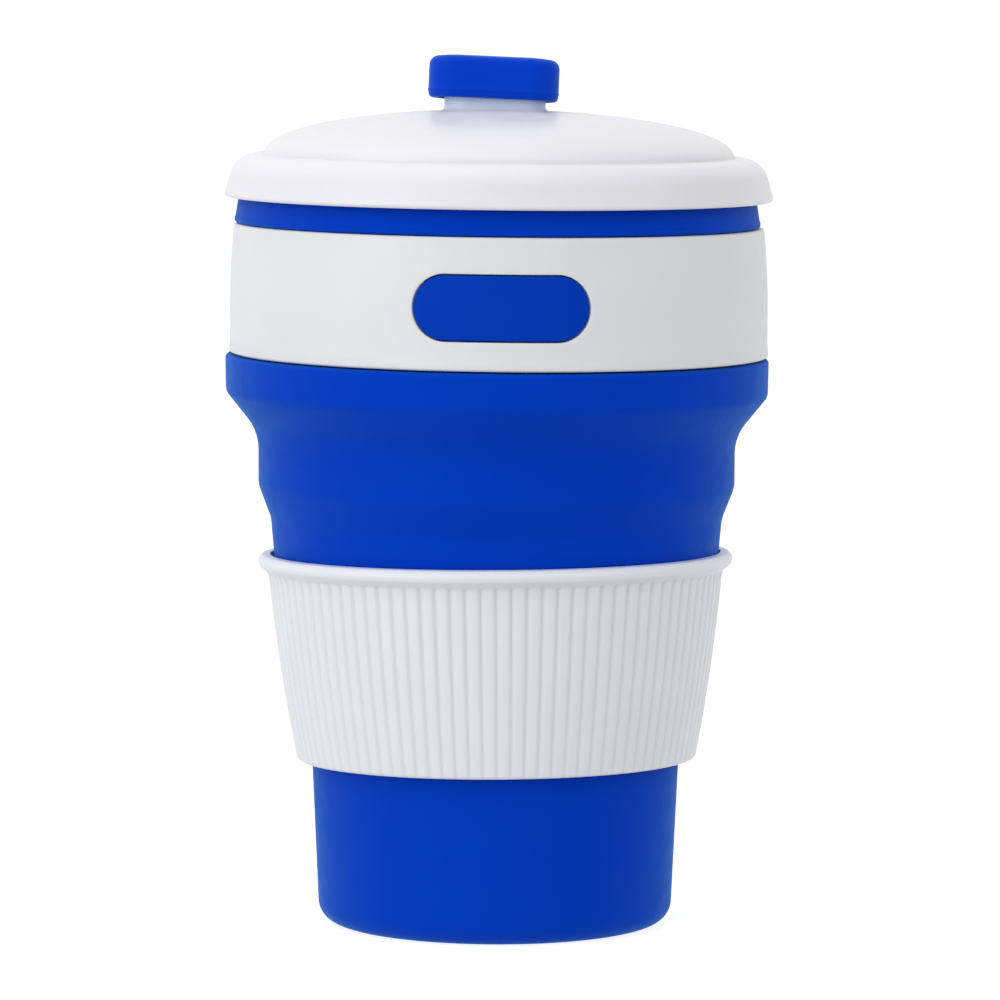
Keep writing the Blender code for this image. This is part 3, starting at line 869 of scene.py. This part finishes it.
def seal():
    """The flat seal in the lid's channel, with a rounded bead on each side."""
    inner, middle = PLUG_RING_RADIUS + 0.4, (GASKET_BOTTOM + GASKET_TOP) / 2
    outline = rounded([
        (inner, GASKET_BOTTOM + 0.2, 0.2),
        (inner + 1.0, GASKET_BOTTOM + 0.35, 0.5),
        (GASKET_RADIUS - 1.0, GASKET_BOTTOM + 0.35, 0.5),
        (GASKET_RADIUS, GASKET_BOTTOM, 0.3),
        (GASKET_RADIUS, middle, 0.2),
        (GASKET_RADIUS - 0.2, GASKET_TOP, 0.4),
        (inner + 0.2, GASKET_TOP, 0.4),
        (inner, middle, 0.2),
    ])
    obj = turned("lid_seal", outline)
    set_askew(obj)
    dress(obj, SEAL_SILICONE)
    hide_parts("lid_gasket")
    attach(obj, "lid")


# ---------------------------------------------------------------- stopper

CAP = (10.35, 6.4, 4.7)        # half width, half depth and corner radius of the cap
CAP_HEIGHT = 6.7
CAP_BOTTOM = SPOUT_TOP - 1.0
CAP_RECESS = (8.65, 5.1, 4.1)
CAP_RECESS_DEPTH = 2.1
TOP_ROUNDING = 1.5
TOP_ROUNDING_ROWS = 7
CAP_SIDE_TOP = CAP_HEIGHT - 0.1 - TOP_ROUNDING
PARTING_LINE = 1.2             # height of the fine line round the cap
PLUG = (6.0, 2.4, 1.9)
PLUG_DEPTH = 4.6
PLUG_RIBS = (1.6, 3.4)         # heights of the sealing ribs above the plug's end
STOPPER_TILT = (-3.5, 2.3)     # degrees about X and Y: the front and the left stand higher


def stopper_ring(shape, inset, height):
    """A level ring of the stopper, in its own frame."""
    half_x, half_y, corner = shape
    ring = []
    for angle in ANGLES:
        reach = box_radius(angle, half_x - inset, half_y - inset, max(0.3, corner - inset))
        ring.append(Vector((reach * cos(angle), reach * sin(angle), height)))
    return ring


def plug_rings():
    """The plug from its end up to the cap's recess, with two sealing ribs."""
    sections = [(1.2, 0.0), (0.5, 0.15), (0.2, 0.7)]
    for rib in PLUG_RIBS:
        for offset, inset in ((-0.5, 0.1), (-0.2, -0.12), (0.2, -0.12), (0.5, 0.1)):
            sections.append((inset, rib + offset))
    rings = [[Vector((0, 0, -PLUG_DEPTH))]]
    rings += [stopper_ring(PLUG, inset, height - PLUG_DEPTH) for inset, height in sections]
    rings.append(stopper_ring(PLUG, 0.1, CAP_RECESS_DEPTH - 0.4))
    return rings


def cap_rings():
    """The cap from its recess out, round the lower edge and parting line, to its crown."""
    sections = [
        (PLUG, -0.3, CAP_RECESS_DEPTH),
        (CAP_RECESS, 0.2, CAP_RECESS_DEPTH),
        (CAP_RECESS, 0.0, CAP_RECESS_DEPTH - 0.2),
        (CAP_RECESS, 0.0, 0.15),
        (CAP_RECESS, -0.15, 0.0),
        (CAP, 0.9, 0.0),
        (CAP, 0.45, 0.08),
        (CAP, 0.17, 0.28),
        (CAP, 0.04, 0.6),
        (CAP, 0.0, PARTING_LINE - 0.18),
        (CAP, -0.07, PARTING_LINE - 0.06),
        (CAP, -0.07, PARTING_LINE + 0.06),
        (CAP, 0.0, PARTING_LINE + 0.18),
        (CAP, 0.0, 2.2),
        (CAP, 0.0, CAP_SIDE_TOP - 0.6),
    ]
    for step in range(TOP_ROUNDING_ROWS + 1):
        angle = pi / 2 * step / TOP_ROUNDING_ROWS
        inset, lift = TOP_ROUNDING * (1 - cos(angle)), TOP_ROUNDING * sin(angle)
        sections.append((CAP, inset, CAP_SIDE_TOP + lift))
    for inset, lift in ((2.6, 0.14), (4.0, 0.24), (5.4, 0.29)):
        sections.append((CAP, inset, CAP_SIDE_TOP + TOP_ROUNDING + lift))
    crown = [Vector((0, 0, CAP_HEIGHT + 0.2))]
    return [stopper_ring(*section) for section in sections] + [crown]


def stopper():
    """The soft stopper: a ribbed plug, and a cap that reaches over the spout's mouth."""
    obj = loft("soft_stopper", plug_rings() + cap_rings(), closed=False)
    obj.location = (SPOUT_X * MM, 0, CAP_BOTTOM * MM)
    obj.rotation_euler = [radians(angle) for angle in (*STOPPER_TILT, 0)]
    dress(obj, STOPPER_SILICONE)
    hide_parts("stopper")
    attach(obj, "stopper")


# ---------------------------------------------------------------- stage, light, camera

STAGE_GREY = (0.3, 0.3, 0.3)
STAGE_GLOW = 0.84
STAGE_HALF_WIDTH = 4.0
STAGE_FRONT = -3.0
STAGE_BACK = 2.2
STAGE_HEIGHT = 4.0
SWEEP_RADIUS = 0.8             # of the curve between the floor and the backdrop
SWEEP_ROWS = 12
WORLD_STRENGTH = 0.73
LIGHT_TARGET = (0, 0, 0.07)    # the middle of the cup
LIGHTS = (                     # name, place, size in metres and power in watts
    ("key_left", (-0.85, -0.65, 0.25), (0.8, 0.9), 3.97),
    ("high_left", (-0.9, -0.5, 0.75), (0.8, 0.6), 1.43),
    ("high_right", (0.9, -0.5, 0.75), (0.8, 0.6), 1.78),
    ("high_front", (-0.1, -1.0, 0.85), (1.2, 0.7), 1.47),
    ("top", (-0.3, -0.1, 1.1), (1.2, 1.0), 2.92),
)
CAMERA_DISTANCE = 0.962
CAMERA_HEIGHT = 0.15693
CAMERA_PITCH = 5.3             # degrees below level
CAMERA_ROLL = 0.25
CAMERA_YAW = -0.034
CAMERA_LENS = 217.4
SENSOR_WIDTH = 36.0


def stage_white():
    """A pale matte surface with a little light of its own, so that it reads as white."""
    shader = Shader("stage_white", STAGE_GREY, roughness=0.9)
    shader.set(Specular_IOR_Level=0.0)
    shader.set(Emission_Color=(1, 1, 1, 1), Emission_Strength=STAGE_GLOW)
    return shader.material


def add_stage():
    """A pale floor that sweeps up into a backdrop, and sends no bounced light to the cup."""
    profile = [(STAGE_FRONT, 0.0), (0.0, 0.0), (STAGE_BACK - SWEEP_RADIUS, 0.0)]
    for step in range(1, SWEEP_ROWS + 1):
        angle = pi / 2 * step / SWEEP_ROWS
        along = STAGE_BACK - SWEEP_RADIUS + SWEEP_RADIUS * sin(angle)
        profile.append((along, SWEEP_RADIUS * (1 - cos(angle))))
    profile.append((STAGE_BACK, STAGE_HEIGHT))
    mesh = bmesh.new()
    left = [mesh.verts.new((-STAGE_HALF_WIDTH, y, z)) for y, z in profile]
    right = [mesh.verts.new((STAGE_HALF_WIDTH, y, z)) for y, z in profile]
    for index in range(len(profile) - 1):
        mesh.faces.new([left[index], right[index], right[index + 1], left[index + 1]])
    data = bpy.data.meshes.new("stage")
    mesh.to_mesh(data)
    mesh.free()
    data.shade_smooth()
    obj = bpy.data.objects.new("stage", data)
    bpy.context.scene.collection.objects.link(obj)
    obj.visible_diffuse = False
    data.materials.append(stage_white())


def add_light(name, place, size, power):
    """A soft rectangular light, aimed at the cup."""
    data = bpy.data.lights.new(name, "AREA")
    data.shape = "RECTANGLE"
    data.size, data.size_y = size
    data.energy = power
    obj = bpy.data.objects.new(name, data)
    bpy.context.scene.collection.objects.link(obj)
    obj.location = place
    aim = Vector(LIGHT_TARGET) - Vector(place)
    obj.rotation_euler = aim.to_track_quat("-Z", "Y").to_euler()


def add_lights():
    """Light-tent lighting: an even pale world, a large key on the left, soft lights above."""
    world = bpy.data.worlds.new("studio")
    world.use_nodes = True
    world.node_tree.nodes["Background"].inputs["Color"].default_value = (1, 1, 1, 1)
    world.node_tree.nodes["Background"].inputs["Strength"].default_value = WORLD_STRENGTH
    bpy.context.scene.world = world
    for light in LIGHTS:
        add_light(*light)


def add_camera():
    """A long-lens camera in front of the cup, just above its top and pitched slightly down."""
    data = bpy.data.cameras.new("camera")
    data.lens = CAMERA_LENS
    data.sensor_width = SENSOR_WIDTH
    obj = bpy.data.objects.new("camera", data)
    bpy.context.scene.collection.objects.link(obj)
    place = Matrix.Translation((0, -CAMERA_DISTANCE, CAMERA_HEIGHT))
    turn = Matrix.Rotation(radians(CAMERA_YAW), 4, "Z")
    tilt = Matrix.Rotation(radians(90 - CAMERA_PITCH), 4, "X")
    roll = Matrix.Rotation(radians(CAMERA_ROLL), 4, "Z")
    obj.matrix_world = place @ turn @ tilt @ roll
    bpy.context.scene.camera = obj
    bpy.context.scene.view_settings.view_transform = "Standard"


base_tier()
upper_tiers()
ribbed_sleeve()
collar()
badge()
lid()
seal()
stopper()
add_stage()
add_lights()
add_camera()
